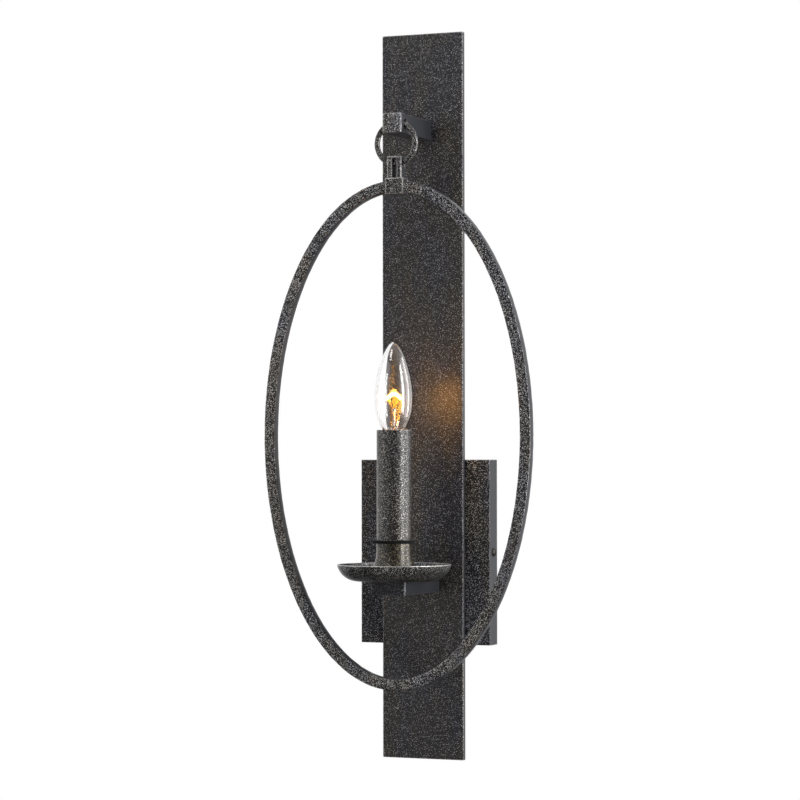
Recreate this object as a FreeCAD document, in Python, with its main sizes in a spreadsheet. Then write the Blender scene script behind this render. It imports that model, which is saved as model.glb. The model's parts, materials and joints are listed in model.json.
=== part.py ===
import FreeCAD, Part
import math
import os
import re
import Sketcher

# Candle wall sconce with a hanging oval hoop, in millimetres. The wall is the plane Y = 0, the sconce
# stands out from it towards -Y, +X is to the right of someone facing it and +Z is up. The origin is the
# middle of the two slots that fasten the mounting strap to the electrical box in the wall.

SIZES = {
    # tall flat strip
    "strip_width": 73.0,
    "strip_below": 173.4,
    "strip_over_bracket": 82.3,
    "strip_thick": 5.0,
    "strip_edge": 0.5,
    # canopy pan behind the strip
    "pan_beyond_slots": 7.05,
    "pan_height": 155.0,
    "pan_depth": 17.0,
    "pan_wall": 1.2,
    "pan_bend": 1.0,
    # strap on the electrical box
    "strap_height": 30.0,
    "strap_thick": 2.0,
    "strap_flange": 12.0,
    "strap_opening": 11.0,
    "slot_spacing": 88.9,
    "slot_length": 14.0,
    "slot_width": 5.0,
    # general clearances
    "seat_gap": 0.3,
    "thread_gap": 0.05,
    "hole_gap": 0.2,
    # crosses in the screw heads
    "cross_half": 0.45,
    "cross_reach": 2.3,
    "cross_depth": 1.2,
    # screws through the sides of the pan
    "side_screw_radius": 2.0,
    "side_head_radius": 3.75,
    "side_head_height": 2.4,
    # ground screw on the strap
    "ground_side": 22.0,
    "ground_rise": 8.0,
    "ground_screw_radius": 2.0,
    "ground_head_radius": 4.2,
    "ground_head_height": 2.2,
    # studs that hold the pan on the strip
    "stud_radius": 2.5,
    "stud_inset": 17.5,
    "stud_length": 7.5,
    "stud_nut_flats": 8.0,
    "stud_nut_height": 4.0,
    # arm of flat rectangular tube
    "arm_width": 29.6,
    "arm_height": 11.4,
    "arm_wall": 1.5,
    "arm_nose": 13.7,
    "arm_drop": 27.6,
    # wires and the bushing they pass through
    "wire_radius": 1.0,
    "wire_side": 1.3,
    "wire_forward": 1.5,
    "wire_terminal": 5.6,
    "wire_straight": 8.0,
    "bush_bore": 3.6,
    "bush_wall": 1.0,
    "bush_rim": 1.6,
    "connector_radius": 4.6,
    "connector_end_radius": 3.2,
    "connector_mouth": 2.4,
    "connector_well": 6.0,
    "connector_length": 17.0,
    "connector_side": 13.0,
    "connector_drop": 44.0,
    "ground_connector_rise": 34.0,
    # candle nipple and its nuts
    "candle_reach": 61.8,
    "nipple_radius": 5.0,
    "nipple_bore": 3.5,
    "nipple_spare": 3.2,
    "nut_flats": 14.0,
    "nut_height": 4.0,
    "thin_nut_height": 3.0,
    # drip dish
    "dish_radius": 47.0,
    "dish_floor_radius": 30.5,
    "dish_height": 13.6,
    "dish_wall": 1.5,
    # waisted cup under the candle
    "cup_height": 30.8,
    "cup_waist_radius": 14.4,
    "cup_waist_height": 24.4,
    "cup_flare": 35.4,
    "cup_wall": 1.2,
    # thin disc on the cup
    "disc_radius": 18.5,
    "disc_thick": 1.2,
    # candle sleeve
    "sleeve_radius": 14.3,
    "sleeve_wall": 1.0,
    "sleeve_length": 90.4,
    # strap that carries the lamp socket
    "riser_width": 8.0,
    "riser_thick": 1.2,
    "riser_reach": 8.3,
    "rivet_radius": 1.5,
    "rivet_grip": 4.0,
    "rivet_head_radius": 2.8,
    "rivet_head_height": 1.2,
    # candelabra socket, hung below the sleeve's top edge
    "socket_drop": 36.0,
    "socket_radius": 9.3,
    "socket_height": 26.0,
    "socket_floor": 8.0,
    "base_gap": 0.45,
    "shell_wall": 0.35,
    "shell_length": 15.0,
    "shell_rise": 2.5,
    "contact_height": 2.2,
    "contact_length": 5.0,
    "contact_width": 3.0,
    "terminal_depth": 5.0,
    # candle bulb
    "bulb_base_radius": 5.95,
    "bulb_base_wall": 0.45,
    "bulb_base_length": 14.5,
    "insulator_height": 1.7,
    "button_radius": 2.4,
    "button_height": 0.8,
    "glass_wall": 0.7,
    "glass_neck_radius": 6.3,
    "glass_neck_length": 3.0,
    "glass_shoulder_radius": 9.6,
    "glass_shoulder_rise": 9.5,
    "glass_belly_radius": 16.1,
    "glass_belly_rise": 35.5,
    "glass_tip_radius": 4.1,
    "glass_tip_rise": 79.0,
    "glass_cap_height": 2.0,
    "stem_foot": 1.2,
    "stem_radius": 3.0,
    "stem_height": 13.0,
    "lead_radius": 0.35,
    "lead_spread": 2.6,
    "lead_length": 20.5,
    "filament_radius": 0.6,
    # upper bracket of square bar
    "bracket_width": 16.5,
    "bracket_reach": 66.4,
    "bracket_rise": 354.3,
    "bracket_play": 1.85,
    "bracket_edge": 0.8,
    "bracket_screw_radius": 2.0,
    "bracket_screw_spread": 0.4,
    "bracket_screw_depth": 16.0,
    "bracket_head_radius": 3.6,
    "bracket_head_height": 2.6,
    # round ring through the bracket
    "ring_inset": 10.0,
    "ring_radius": 17.0,
    "ring_rod": 2.3,
    # slotted link on the ring
    "link_width": 12.5,
    "link_depth": 10.0,
    "link_slot": 4.2,
    "link_play": 1.0,
    "link_crown": 5.6,
    "link_drop": 12.7,
    "link_edge": 0.6,
    # collar under the link
    "collar_width": 16.2,
    "collar_wall": 1.4,
    "collar_edge": 0.7,
    # oval hoop of square bar
    "hoop_half_width": 118.65,
    "hoop_half_height": 209.9,
    "hoop_bar": 9.5,
    "hoop_depth": 8.5,
    "hoop_edge": 1.0,
}

# Places worked out from the sizes. Heights are above the origin, depths are along Y.
PLACES = {
    "strip_back": "-pan_depth",
    "strip_face": "strip_back - strip_thick",
    "strip_height": "strip_below + bracket_rise + strip_over_bracket",
    "strip_middle": "strip_height / 2 - strip_below",
    "pan_width": "slot_spacing + slot_length + 2 * pan_beyond_slots",
    "stud_rise": "pan_height / 2 - stud_inset",
    # candle stack, from the arm up
    "arm_reach": "candle_reach + arm_nose",
    "candle_y": "strip_face - candle_reach",
    "arm_top": "arm_height / 2 - arm_drop",
    "arm_roof": "arm_top - arm_wall",
    "nipple_foot": "arm_roof - nut_height",
    "cup_base": "arm_top + dish_wall",
    "cup_top": "cup_base + cup_height",
    "disc_top": "cup_top + disc_thick",
    "riser_base": "disc_top + thin_nut_height",
    "riser_floor": "riser_base + riser_thick",
    "nipple_top": "riser_floor + thin_nut_height + nipple_spare",
    "socket_base": "disc_top + sleeve_length - socket_drop",
    "riser_height": "socket_base - riser_base",
    "socket_bore": "bulb_base_radius + base_gap + shell_wall + thread_gap",
    "socket_bed": "socket_base + socket_floor",
    "bulb_foot": "socket_bed + contact_height + seat_gap",
    "bulb_shell_foot": "bulb_foot + button_height + insulator_height",
    "glass_base": "bulb_shell_foot + bulb_base_length",
    "candle_hole": "nipple_radius + hole_gap",
    # the bulb's two long curves, each upright at the belly
    "glass_drop": "glass_belly_rise - glass_shoulder_rise",
    "glass_climb": "glass_tip_rise - glass_belly_rise",
    "glass_shrink": "glass_belly_radius - glass_shoulder_radius",
    "glass_taper": "glass_belly_radius - glass_tip_radius",
    "glass_lower_curve": "(glass_shrink ^ 2 + glass_drop ^ 2) / (2 * glass_shrink)",
    "glass_upper_curve": "(glass_taper ^ 2 + glass_climb ^ 2) / (2 * glass_taper)",
    # wires
    "wire_level": "nipple_foot - hole_gap - 2 * wire_radius",
    "wire_y": "candle_y - wire_forward",
    "wire_droop": "sqrt((bush_bore - wire_radius - hole_gap) ^ 2 - wire_side ^ 2)",
    "bush_rise": "wire_level + wire_droop",
    "bend_back": "sqrt(nipple_bore ^ 2 - wire_side ^ 2) + wire_forward - wire_radius - hole_gap",
    "bend_down": "nipple_foot - wire_level - wire_radius - hole_gap",
    "wire_bend": "bend_back + bend_down + wire_radius + hole_gap + sqrt(2 * bend_back * bend_down)",
    "pan_inside": "pan_wall - pan_depth",
    "pan_mid": "-pan_depth / 2",
    # hanging chain: the ring rests in the bracket's hole, the link rests on the ring
    "ring_reach": "bracket_reach - ring_inset",
    "ring_y": "strip_face - ring_reach",
    "bracket_hole": "ring_rod + bracket_play",
    "link_hole": "ring_rod + link_play",
    "bracket_half": "bracket_width / 2",
    "bracket_screw_rise": "bracket_head_radius + bracket_screw_spread",
    "link_half": "link_width / 2",
    "ring_inside": "ring_radius - ring_rod",
    "ring_middle": "bracket_rise - bracket_hole + seat_gap - sqrt(ring_inside ^ 2 - bracket_half ^ 2)",
    "link_pin": "ring_middle - sqrt(ring_inside ^ 2 - link_half ^ 2) + seat_gap - link_hole",
    "link_foot": "link_pin - link_drop",
    # collar and hoop
    "hoop_top": "link_foot - collar_wall - seat_gap",
    "hoop_middle": "hoop_top - hoop_half_height",
    "crown_radius": "hoop_half_width ^ 2 / hoop_half_height",
    "crown_middle": "hoop_top - crown_radius",
    "crown_inside": "sqrt((crown_radius - hoop_bar) ^ 2 - (collar_width / 2) ^ 2)",
    "collar_floor": "crown_middle + crown_inside - seat_gap",
    "collar_foot": "collar_floor - collar_wall",
    "collar_depth": "hoop_depth + 2 * (seat_gap + collar_wall)",
}

doc = FreeCAD.newDocument("Sconce")
sub_parts = []


# ---------------------------------------------------------------- sheets and formulas


def fill(name, cells, as_text):
    """A sheet with one word and its value in each row."""
    sheet = doc.addObject("Spreadsheet::Sheet", name)
    for row, (word, content) in enumerate(cells.items(), start=1):
        sheet.set(f"A{row}", word)
        sheet.set(f"B{row}", as_text(content))
        sheet.setAlias(f"B{row}", word)
    return sheet


def with_sheets(formula, sheet_words=True):
    """The formula with each word traced to the sheet that holds it."""

    def owner(match):
        word = match.group(0)
        if word in SIZES:
            return "sizes." + word
        if word in PLACES and sheet_words:
            return "places." + word
        return word

    return re.sub(r"[a-z_]+", owner, formula)


sizes = fill("sizes", SIZES, str)
places = fill("places", PLACES, lambda formula: "=" + with_sheets(formula, sheet_words=False))
trial = doc.addObject("Spreadsheet::Sheet", "trial")
doc.recompute()


def number(formula):
    """The formula's present value, for starting sketches and for curves drawn point by point."""
    trial.set("A1", "=" + with_sheets(formula))
    trial.recompute()
    return float(trial.get("A1"))


def bind(item, **formulas):
    for name, formula in formulas.items():
        item.setExpression(name, with_sheets(formula))


def place(item, x="0", y="0", z="0"):
    for axis, formula in zip("xyz", (x, y, z)):
        item.setExpression("Placement.Base." + axis, with_sheets(formula))


def turn(item, axis, degrees):
    item.Placement = FreeCAD.Placement(FreeCAD.Vector(), FreeCAD.Rotation(axis, degrees))


# An arc's share of the shorter of its two runs, and the distance within which places are the same
ARC_SHARE = 0.45
SAME = 0.01

X_AXIS = FreeCAD.Vector(1, 0, 0)
Y_AXIS = FreeCAD.Vector(0, 1, 0)
Z_AXIS = FreeCAD.Vector(0, 0, 1)


def keep(item, label):
    """Names a finished sub-part."""
    item.Label = label
    sub_parts.append(item)
    return item


# ---------------------------------------------------------------- bodies and sketches


def new_body(label):
    return keep(doc.addObject("PartDesign::Body", label + "_body"), label)


def sketch_on(body, role):
    """A sketch on one of the body's own origin planes."""
    sketch = body.newObject("Sketcher::SketchObject", body.Label + "_sketch")
    plane = next(item for item in body.Origin.OriginFeatures if item.Role == role)
    sketch.AttachmentSupport = [(plane, "")]
    sketch.MapMode = "FlatFace"
    return sketch


def dimension(sketch, kind, references, formula):
    index = sketch.addConstraint(Sketcher.Constraint(kind, *references, number(formula)))
    sketch.setExpression(f"Constraints[{index}]", with_sheets(formula))


def pin(sketch, element, end, x, y):
    """Holds one end of an element at a place in the sketch."""
    for kind, formula, axis in (("DistanceX", x, -2), ("DistanceY", y, -1)):
        if formula == "0":
            sketch.addConstraint(Sketcher.Constraint("PointOnObject", element, end, axis))
        else:
            dimension(sketch, kind, (-1, 1, element, end), formula)


def rectangle(sketch, wide, high, x="0", y="0"):
    """A rectangle by its size and its middle."""
    half_wide = number(wide) / 2
    half_high = number(high) / 2
    middle = FreeCAD.Vector(number(x), number(y), 0)
    signs = ((-1, -1), (1, -1), (1, 1), (-1, 1))
    corners = [middle + FreeCAD.Vector(u * half_wide, v * half_high, 0) for u, v in signs]
    first = sketch.GeometryCount
    for side in range(4):
        sketch.addGeometry(Part.LineSegment(corners[side], corners[(side + 1) % 4]))
    for side in range(4):
        after = first + (side + 1) % 4
        sketch.addConstraint(Sketcher.Constraint("Coincident", first + side, 2, after, 1))
        kind = "Vertical" if side % 2 else "Horizontal"
        sketch.addConstraint(Sketcher.Constraint(kind, first + side))
    dimension(sketch, "DistanceX", (first, 1, first, 2), wide)
    dimension(sketch, "DistanceY", (first + 1, 1, first + 1, 2), high)
    dimension(sketch, "DistanceX", (-1, 1, first, 1), f"{x} - ({wide}) / 2")
    dimension(sketch, "DistanceY", (-1, 1, first, 1), f"{y} - ({high}) / 2")


def circle(sketch, radius, x="0", y="0"):
    middle = FreeCAD.Vector(number(x), number(y), 0)
    element = sketch.addGeometry(Part.Circle(middle, FreeCAD.Vector(0, 0, 1), number(radius)))
    pin(sketch, element, 3, x, y)
    dimension(sketch, "Radius", (element,), radius)


def arc_between(start, end, radius, left):
    """The arc of less than half a circle from start to end, curving to the left or to the right."""
    chord = end - start
    height = math.sqrt(radius**2 - (chord.Length / 2) ** 2)
    across = FreeCAD.Vector(-chord.y, chord.x, 0).normalize()
    middle = start + chord * 0.5 + across * (height if left else -height)
    first, last = (start, end) if left else (end, start)
    angles = [math.atan2(point.y - middle.y, point.x - middle.x) for point in (first, last)]
    if angles[1] < angles[0]:
        angles[1] += 2 * math.pi
    return Part.ArcOfCircle(Part.Circle(middle, FreeCAD.Vector(0, 0, 1), radius), *angles)


def outline(sketch, corners):
    """A closed outline. Each corner is (x, y), or (x, y, radius, side) where an arc leads to it."""
    points = [FreeCAD.Vector(number(corner[0]), number(corner[1]), 0) for corner in corners]
    ends = []
    for index, corner in enumerate(corners):
        start, end = points[index - 1], points[index]
        if len(corner) == 2:
            element = sketch.addGeometry(Part.LineSegment(start, end))
            ends.append((element, 1, 2))
        else:
            left = corner[3] == "left"
            element = sketch.addGeometry(arc_between(start, end, number(corner[2]), left))
            ends.append((element, 1, 2) if left else (element, 2, 1))
            dimension(sketch, "Radius", (element,), corner[2])
        pin(sketch, element, ends[-1][2], corner[0], corner[1])
    for index, (element, start, _) in enumerate(ends):
        before, _, end = ends[index - 1]
        sketch.addConstraint(Sketcher.Constraint("Coincident", before, end, element, start))


def pad(body, sketch, length, symmetric=False):
    feature = body.newObject("PartDesign::Pad", body.Label + "_pad")
    feature.Profile = sketch
    feature.SideType = "Symmetric" if symmetric else "One side"
    bind(feature, Length=length)
    doc.recompute()
    return feature


def cut(body, sketch, length=None, towards_normal=True):
    """A pocket right through, or of one length on one side. It has to take something away."""
    before = body.Shape.Volume
    feature = body.newObject("PartDesign::Pocket", body.Label + "_pocket")
    feature.Profile = sketch
    if length is None:
        feature.SideType = "Symmetric"
        feature.Type = "ThroughAll"
    else:
        feature.Reversed = towards_normal
        bind(feature, Length=length)
    doc.recompute()
    if not body.Shape.Volume < before:
        raise ValueError(body.Label + ": a pocket took nothing away")
    return feature


def revolve(body, sketch):
    feature = body.newObject("PartDesign::Revolution", body.Label + "_revolution")
    feature.Profile = sketch
    feature.ReferenceAxis = (sketch, ["V_Axis"])
    feature.Angle = 360
    doc.recompute()
    return feature


def edges_where(feature, test):
    """Names of the straight edges whose middle passes the test."""
    names = []
    for index, edge in enumerate(feature.Shape.Edges, start=1):
        start, end = (vertex.Point for vertex in edge.Vertexes)
        if test((start + end) * 0.5):
            names.append(f"Edge{index}")
    return names


def dress(body, kind, size, feature, names):
    """A fillet or a chamfer on some edges of the feature."""
    made = body.newObject("PartDesign::" + kind, body.Label + "_" + kind.lower())
    made.Base = (feature, names)
    bind(made, **{"Radius" if kind == "Fillet" else "Size": size})
    doc.recompute()
    return made


def turned(label, corners, y="0", z="0", x="0"):
    """A body turned about its own upright axis."""
    body = new_body(label)
    sketch = sketch_on(body, "XZ_Plane")
    outline(sketch, corners)
    revolve(body, sketch)
    place(body, x, y, z)
    return body


def tube(label, outer, inner, height, y="0", z="0"):
    corners = [(inner, "0"), (outer, "0"), (outer, height), (inner, height)]
    return turned(label, corners, y, z)


# ---------------------------------------------------------------- fasteners


def screw(label, shank, length, head, head_height):
    """A domed screw with a cross in its head, along its own Z axis, the head above the origin."""
    body = new_body(label)
    sketch = sketch_on(body, "XZ_Plane")
    dome = f"(({head}) ^ 2 + ({head_height}) ^ 2) / (2 * ({head_height}))"
    corners = [
        ("0", f"-({length})"),
        (shank, f"-({length})"),
        (shank, "0"),
        (head, "0"),
        ("0", head_height, dome, "left"),
    ]
    outline(sketch, corners)
    revolve(body, sketch)
    for across in ("cross_half", "cross_reach"):
        along = "cross_reach" if across == "cross_half" else "cross_half"
        slot = sketch_on(body, "XY_Plane")
        bind(slot, **{"AttachmentOffset.Base.z": f"{head_height} - cross_depth"})
        rectangle(slot, f"2 * {across}", f"2 * {along}")
        cut(body, slot, "cross_depth")
    return body


def nut(label, flats, height, bore):
    """A plain hexagon nut standing on its own origin, two of its flats facing +Y and -Y."""
    block = doc.addObject("Part::Prism", label + "_block")
    block.Polygon = 6
    bind(block, Circumradius=f"{flats} / sqrt(3)", Height=height)
    hole = doc.addObject("Part::Cylinder", label + "_hole")
    bind(hole, Radius=bore, Height=height)
    made = doc.addObject("Part::Cut", label + "_cut")
    made.Base, made.Tool = block, hole
    return keep(made, label)


# ---------------------------------------------------------------- wires


def route(points):
    """Straight runs and tangent arcs. A point's fourth value is its arc's radius, where room limits it."""
    corners = [FreeCAD.Vector(*(number(formula) for formula in point[:3])) for point in points]
    edges, radii = [], []
    start = corners[0]
    for point, before, corner, after in zip(points[1:], corners, corners[1:], corners[2:]):
        arriving, leaving = corner - before, after - corner
        shorter = min(arriving.Length, leaving.Length)
        half_turn = arriving.getAngle(leaving) / 2
        radius = number(point[3]) if len(point) == 4 else ARC_SHARE * shorter / math.tan(half_turn)
        reach = radius * math.tan(half_turn)
        arriving.normalize()
        leaving.normalize()
        first, last = corner - arriving * reach, corner + leaving * reach
        inwards = (leaving - arriving).normalize()
        middle = corner + inwards * (radius / math.cos(half_turn) - radius)
        edges.append(Part.LineSegment(start, first).toShape())
        edges.append(Part.Arc(first, middle, last).toShape())
        radii.append(round(radius, 1))
        start = last
    edges.append(Part.LineSegment(start, corners[-1]).toShape())
    return Part.Wire(edges), radii


def wire(label, points):
    """A round wire along its route."""
    path, radii = route(points)
    print(label, "bends with radii of", radii)
    radius = number("wire_radius")
    start = path.Edges[0]
    section = Part.Wire(Part.makeCircle(radius, start.valueAt(0), start.tangentAt(0)))
    shape = path.makePipeShell([section], True, False)
    wanted = math.pi * radius**2 * path.Length
    if abs(shape.Volume / wanted - 1) > 0.01:
        raise ValueError(label + ": the wire's volume is wrong")
    made = doc.addObject("Part::Feature", label + "_shape")
    made.Shape = shape
    made.Placement = FreeCAD.Placement()
    return keep(made, label)


def connector(label, x, z, degrees):
    """A closed cap twisted over a wire's end, its mouth at its own origin."""
    body = turned(
        label,
        [
            ("connector_mouth", "0"),
            ("connector_radius", "0"),
            ("connector_end_radius", "connector_length"),
            ("0", "connector_length"),
            ("0", "connector_well"),
            ("connector_mouth", "connector_well"),
        ],
    )
    turn(body, X_AXIS, degrees)
    place(body, x, "pan_mid", z)


def supply_wires():
    """The two leads from the socket down the nipple, along the arm and into the pan."""
    for label, sign in (("hot", ""), ("neutral", "-")):
        inside = f"{sign}wire_side"
        terminal = f"{sign}wire_terminal"
        side = f"{sign}connector_side"
        well = "-connector_drop - connector_well + seat_gap"
        wire(
            label + "_wire",
            [
                (terminal, "candle_y", "socket_base + terminal_depth - seat_gap"),
                (terminal, "candle_y", "socket_base - wire_straight"),
                (inside, "wire_y", "nipple_top + wire_straight"),
                (inside, "wire_y", "wire_level", "wire_bend"),
                (inside, "pan_mid", "wire_level"),
                (side, "pan_mid", "wire_straight - connector_drop"),
                (side, "pan_mid", well),
            ],
        )
        connector(label + "_connector", side, "-connector_drop", 180)


# ---------------------------------------------------------------- wall parts


def mounting_strap():
    """Crossbar on the electrical box, its ends bent forwards to take the side screws."""
    body = new_body("mounting_strap")
    half = "(pan_width / 2 - pan_wall - seat_gap)"
    inner = f"({half} - strap_thick)"
    sketch = sketch_on(body, "XY_Plane")
    corners = [
        (f"-{half}", "0"),
        (f"-{half}", "-strap_flange"),
        (f"-{inner}", "-strap_flange"),
        (f"-{inner}", "-strap_thick"),
        (inner, "-strap_thick"),
        (inner, "-strap_flange"),
        (half, "-strap_flange"),
        (half, "0"),
    ]
    outline(sketch, corners)
    pad(body, sketch, "strap_height", symmetric=True)
    holes = sketch_on(body, "XZ_Plane")
    straight = "(slot_length - slot_width)"
    for side in ("-", ""):
        rectangle(holes, straight, "slot_width", x=f"{side}slot_spacing / 2")
    circle(holes, "strap_opening")
    circle(holes, "ground_screw_radius + thread_gap", "ground_side", "ground_rise")
    cut(body, holes)
    for end in ("+", "-"):
        rounds = sketch_on(body, "XZ_Plane")
        for side in ("-", ""):
            circle(rounds, "slot_width / 2", x=f"{side}slot_spacing / 2 {end} {straight} / 2")
        cut(body, rounds)
    threads = sketch_on(body, "YZ_Plane")
    circle(threads, "side_screw_radius + thread_gap", x="pan_mid")
    cut(body, threads)


def canopy_pan():
    """Folded sheet pan, open towards the wall."""
    body = new_body("canopy_pan")
    outer = sketch_on(body, "XZ_Plane")
    rectangle(outer, "pan_width", "pan_height")
    block = pad(body, outer, "pan_depth")
    halfway = number("pan_mid") - SAME
    names = edges_where(block, lambda middle: middle.y < halfway)
    dress(body, "Fillet", "pan_bend", block, names)
    inner = sketch_on(body, "XZ_Plane")
    rectangle(inner, "pan_width - 2 * pan_wall", "pan_height - 2 * pan_wall")
    cut(body, inner, "pan_depth - pan_wall")
    holes = sketch_on(body, "XZ_Plane")
    circle(holes, "stud_radius + hole_gap", y="stud_rise")
    circle(holes, "stud_radius + hole_gap", y="-stud_rise")
    circle(holes, "bush_bore + bush_wall + thread_gap", y="bush_rise")
    cut(body, holes)
    sides = sketch_on(body, "YZ_Plane")
    circle(sides, "side_screw_radius + hole_gap", x="pan_mid")
    cut(body, sides)


def side_screws():
    """Two domed screws through the sides of the pan into the strap."""
    length = "pan_wall + seat_gap + strap_thick + side_screw_radius"
    for label, sign, degrees in (("side_screw_right", "", 90), ("side_screw_left", "-", -90)):
        body = screw(label, "side_screw_radius", length, "side_head_radius", "side_head_height")
        turn(body, Y_AXIS, degrees)
        place(body, f"{sign}pan_width / 2", "pan_mid")


def ground_parts():
    """Ground screw in the strap, and its wire up to a connector."""
    reach = "(strap_thick + 2 * wire_radius + 2 * seat_gap)"
    body = screw("ground_screw", "ground_screw_radius", reach, "ground_head_radius", "ground_head_height")
    turn(body, X_AXIS, 90)
    place(body, "ground_side", f"-{reach}", "ground_rise")
    x = "ground_side + ground_screw_radius + seat_gap + wire_radius"
    y = "-strap_thick - seat_gap - wire_radius"
    wire(
        "ground_wire",
        [
            (x, y, "ground_rise - wire_radius"),
            (x, y, "ground_rise + wire_straight"),
            (x, "pan_mid", "ground_rise + 2 * wire_straight"),
            (x, "pan_mid", "ground_connector_rise + connector_well - seat_gap"),
        ],
    )
    connector("ground_connector", x, "ground_connector_rise", 0)


def back_strip():
    """Tall flat bar that everything in front is fastened to."""
    body = new_body("back_strip")
    face = sketch_on(body, "XZ_Plane")
    rectangle(face, "strip_width", "strip_height")
    block = pad(body, face, "strip_thick")
    dress(body, "Chamfer", "strip_edge", block, edges_where(block, lambda middle: True))
    holes = sketch_on(body, "XZ_Plane")
    circle(holes, "bush_bore + bush_wall + thread_gap", y="bush_rise - strip_middle")
    for sign in ("+", "-"):
        height = f"bracket_rise {sign} bracket_screw_rise - strip_middle"
        circle(holes, "bracket_screw_radius + hole_gap", y=height)
    cut(body, holes)
    place(body, y="strip_back", z="strip_middle")


def strip_studs():
    """Studs welded on the back of the strip, through the pan, and their nuts."""
    for label, sign in (("upper", ""), ("lower", "-")):
        stud = doc.addObject("Part::Cylinder", "stud_" + label)
        bind(stud, Radius="stud_radius", Height="stud_length")
        turn(stud, X_AXIS, -90)
        place(stud, y="strip_back", z=f"{sign}stud_rise")
        keep(stud, "strip_stud_" + label)
        bore = "stud_radius + thread_gap"
        hexagon = nut("strip_nut_" + label, "stud_nut_flats", "stud_nut_height", bore)
        turn(hexagon, X_AXIS, -90)
        place(hexagon, y="pan_inside", z=f"{sign}stud_rise")


def wire_bushing():
    """Plastic bushing through the strip and the pan, its rim inside the pan."""
    length = "(strip_thick + pan_wall)"
    outside = "(bush_bore + bush_wall)"
    body = turned(
        "wire_bushing",
        [
            ("bush_bore", "0"),
            (outside, "0"),
            (outside, length),
            (f"{outside} + bush_rim", length),
            (f"{outside} + bush_rim", f"{length} + bush_wall"),
            ("bush_bore", f"{length} + bush_wall"),
        ],
    )
    turn(body, X_AXIS, -90)
    place(body, y="strip_face", z="bush_rise")


# ---------------------------------------------------------------- arm and candle


def lower_arm():
    """Flat rectangular tube welded to the strip, with a plate over its front end."""
    body = new_body("lower_arm")
    section = sketch_on(body, "XZ_Plane")
    rectangle(section, "arm_width", "arm_height")
    block = pad(body, section, "arm_reach - arm_wall")
    halfway = -number("arm_reach - arm_wall") / 2
    names = edges_where(block, lambda middle: abs(middle.y - halfway) < SAME)
    dress(body, "Fillet", "strip_edge", block, names)
    bore = sketch_on(body, "XZ_Plane")
    rectangle(bore, "arm_width - 2 * arm_wall", "arm_height - 2 * arm_wall")
    cut(body, bore)
    hole = sketch_on(body, "XY_Plane")
    circle(hole, "candle_hole", y="-candle_reach")
    cut(body, hole, "arm_height")
    place(body, y="strip_face", z="-arm_drop")


def arm_cap():
    body = new_body("arm_cap")
    plate = sketch_on(body, "XZ_Plane")
    rectangle(plate, "arm_width", "arm_height")
    block = pad(body, plate, "arm_wall")
    names = edges_where(block, lambda middle: middle.y < -SAME)
    dress(body, "Fillet", "strip_edge", block, names)
    place(body, y="strip_face - arm_reach + arm_wall", z="-arm_drop")


def candle_nipple():
    """Hollow threaded tube from the arm up to the socket, with its three nuts."""
    height = "nipple_top - nipple_foot"
    tube("candle_nipple", "nipple_radius", "nipple_bore", height, "candle_y", "nipple_foot")
    bore = "nipple_radius + thread_gap"
    nuts = (
        ("arm_nut", "nut_height", "nipple_foot"),
        ("cup_nut", "thin_nut_height", "disc_top"),
        ("riser_nut", "thin_nut_height", "riser_floor"),
    )
    for label, height, base in nuts:
        place(nut(label, "nut_flats", height, bore), "0", "candle_y", base)


def drip_dish():
    """Shallow spun dish with a flat floor and a rising side of one arc."""
    run = "(dish_radius - dish_floor_radius)"
    curve = f"(({run} ^ 2 + dish_height ^ 2) / (2 * dish_height))"
    inner_curve = f"({curve} - dish_wall)"
    lip = f"dish_floor_radius + sqrt({inner_curve} ^ 2 - ({curve} - dish_height) ^ 2)"
    turned(
        "drip_dish",
        [
            ("candle_hole", "0"),
            ("dish_floor_radius", "0"),
            ("dish_radius", "dish_height", curve, "left"),
            (lip, "dish_height"),
            ("dish_floor_radius", "dish_wall", inner_curve, "right"),
            ("candle_hole", "dish_wall"),
        ],
        "candle_y",
        "arm_top",
    )


def candle_cup():
    """Waisted spun cup, open below and closed above but for its hole."""

    def radius_at(height, curve):
        middle = "(cup_waist_radius + cup_flare)"
        return f"{middle} - sqrt({curve} ^ 2 - ({height} - cup_waist_height) ^ 2)"

    inner = "(cup_flare + cup_wall)"
    ceiling = "(cup_height - cup_wall)"
    turned(
        "candle_cup",
        [
            (radius_at("0", "cup_flare"), "0"),
            (radius_at("cup_height", "cup_flare"), "cup_height", "cup_flare", "right"),
            ("candle_hole", "cup_height"),
            ("candle_hole", ceiling),
            (radius_at(ceiling, inner), ceiling),
            (radius_at("0", inner), "0", inner, "left"),
        ],
        "candle_y",
        "cup_base",
    )


def seat_disc():
    tube("seat_disc", "disc_radius", "candle_hole", "disc_thick", "candle_y", "cup_top")


def candle_sleeve():
    inner = "sleeve_radius - sleeve_wall"
    tube("candle_sleeve", "sleeve_radius", inner, "sleeve_length", "candle_y", "disc_top")


# ---------------------------------------------------------------- socket


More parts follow.
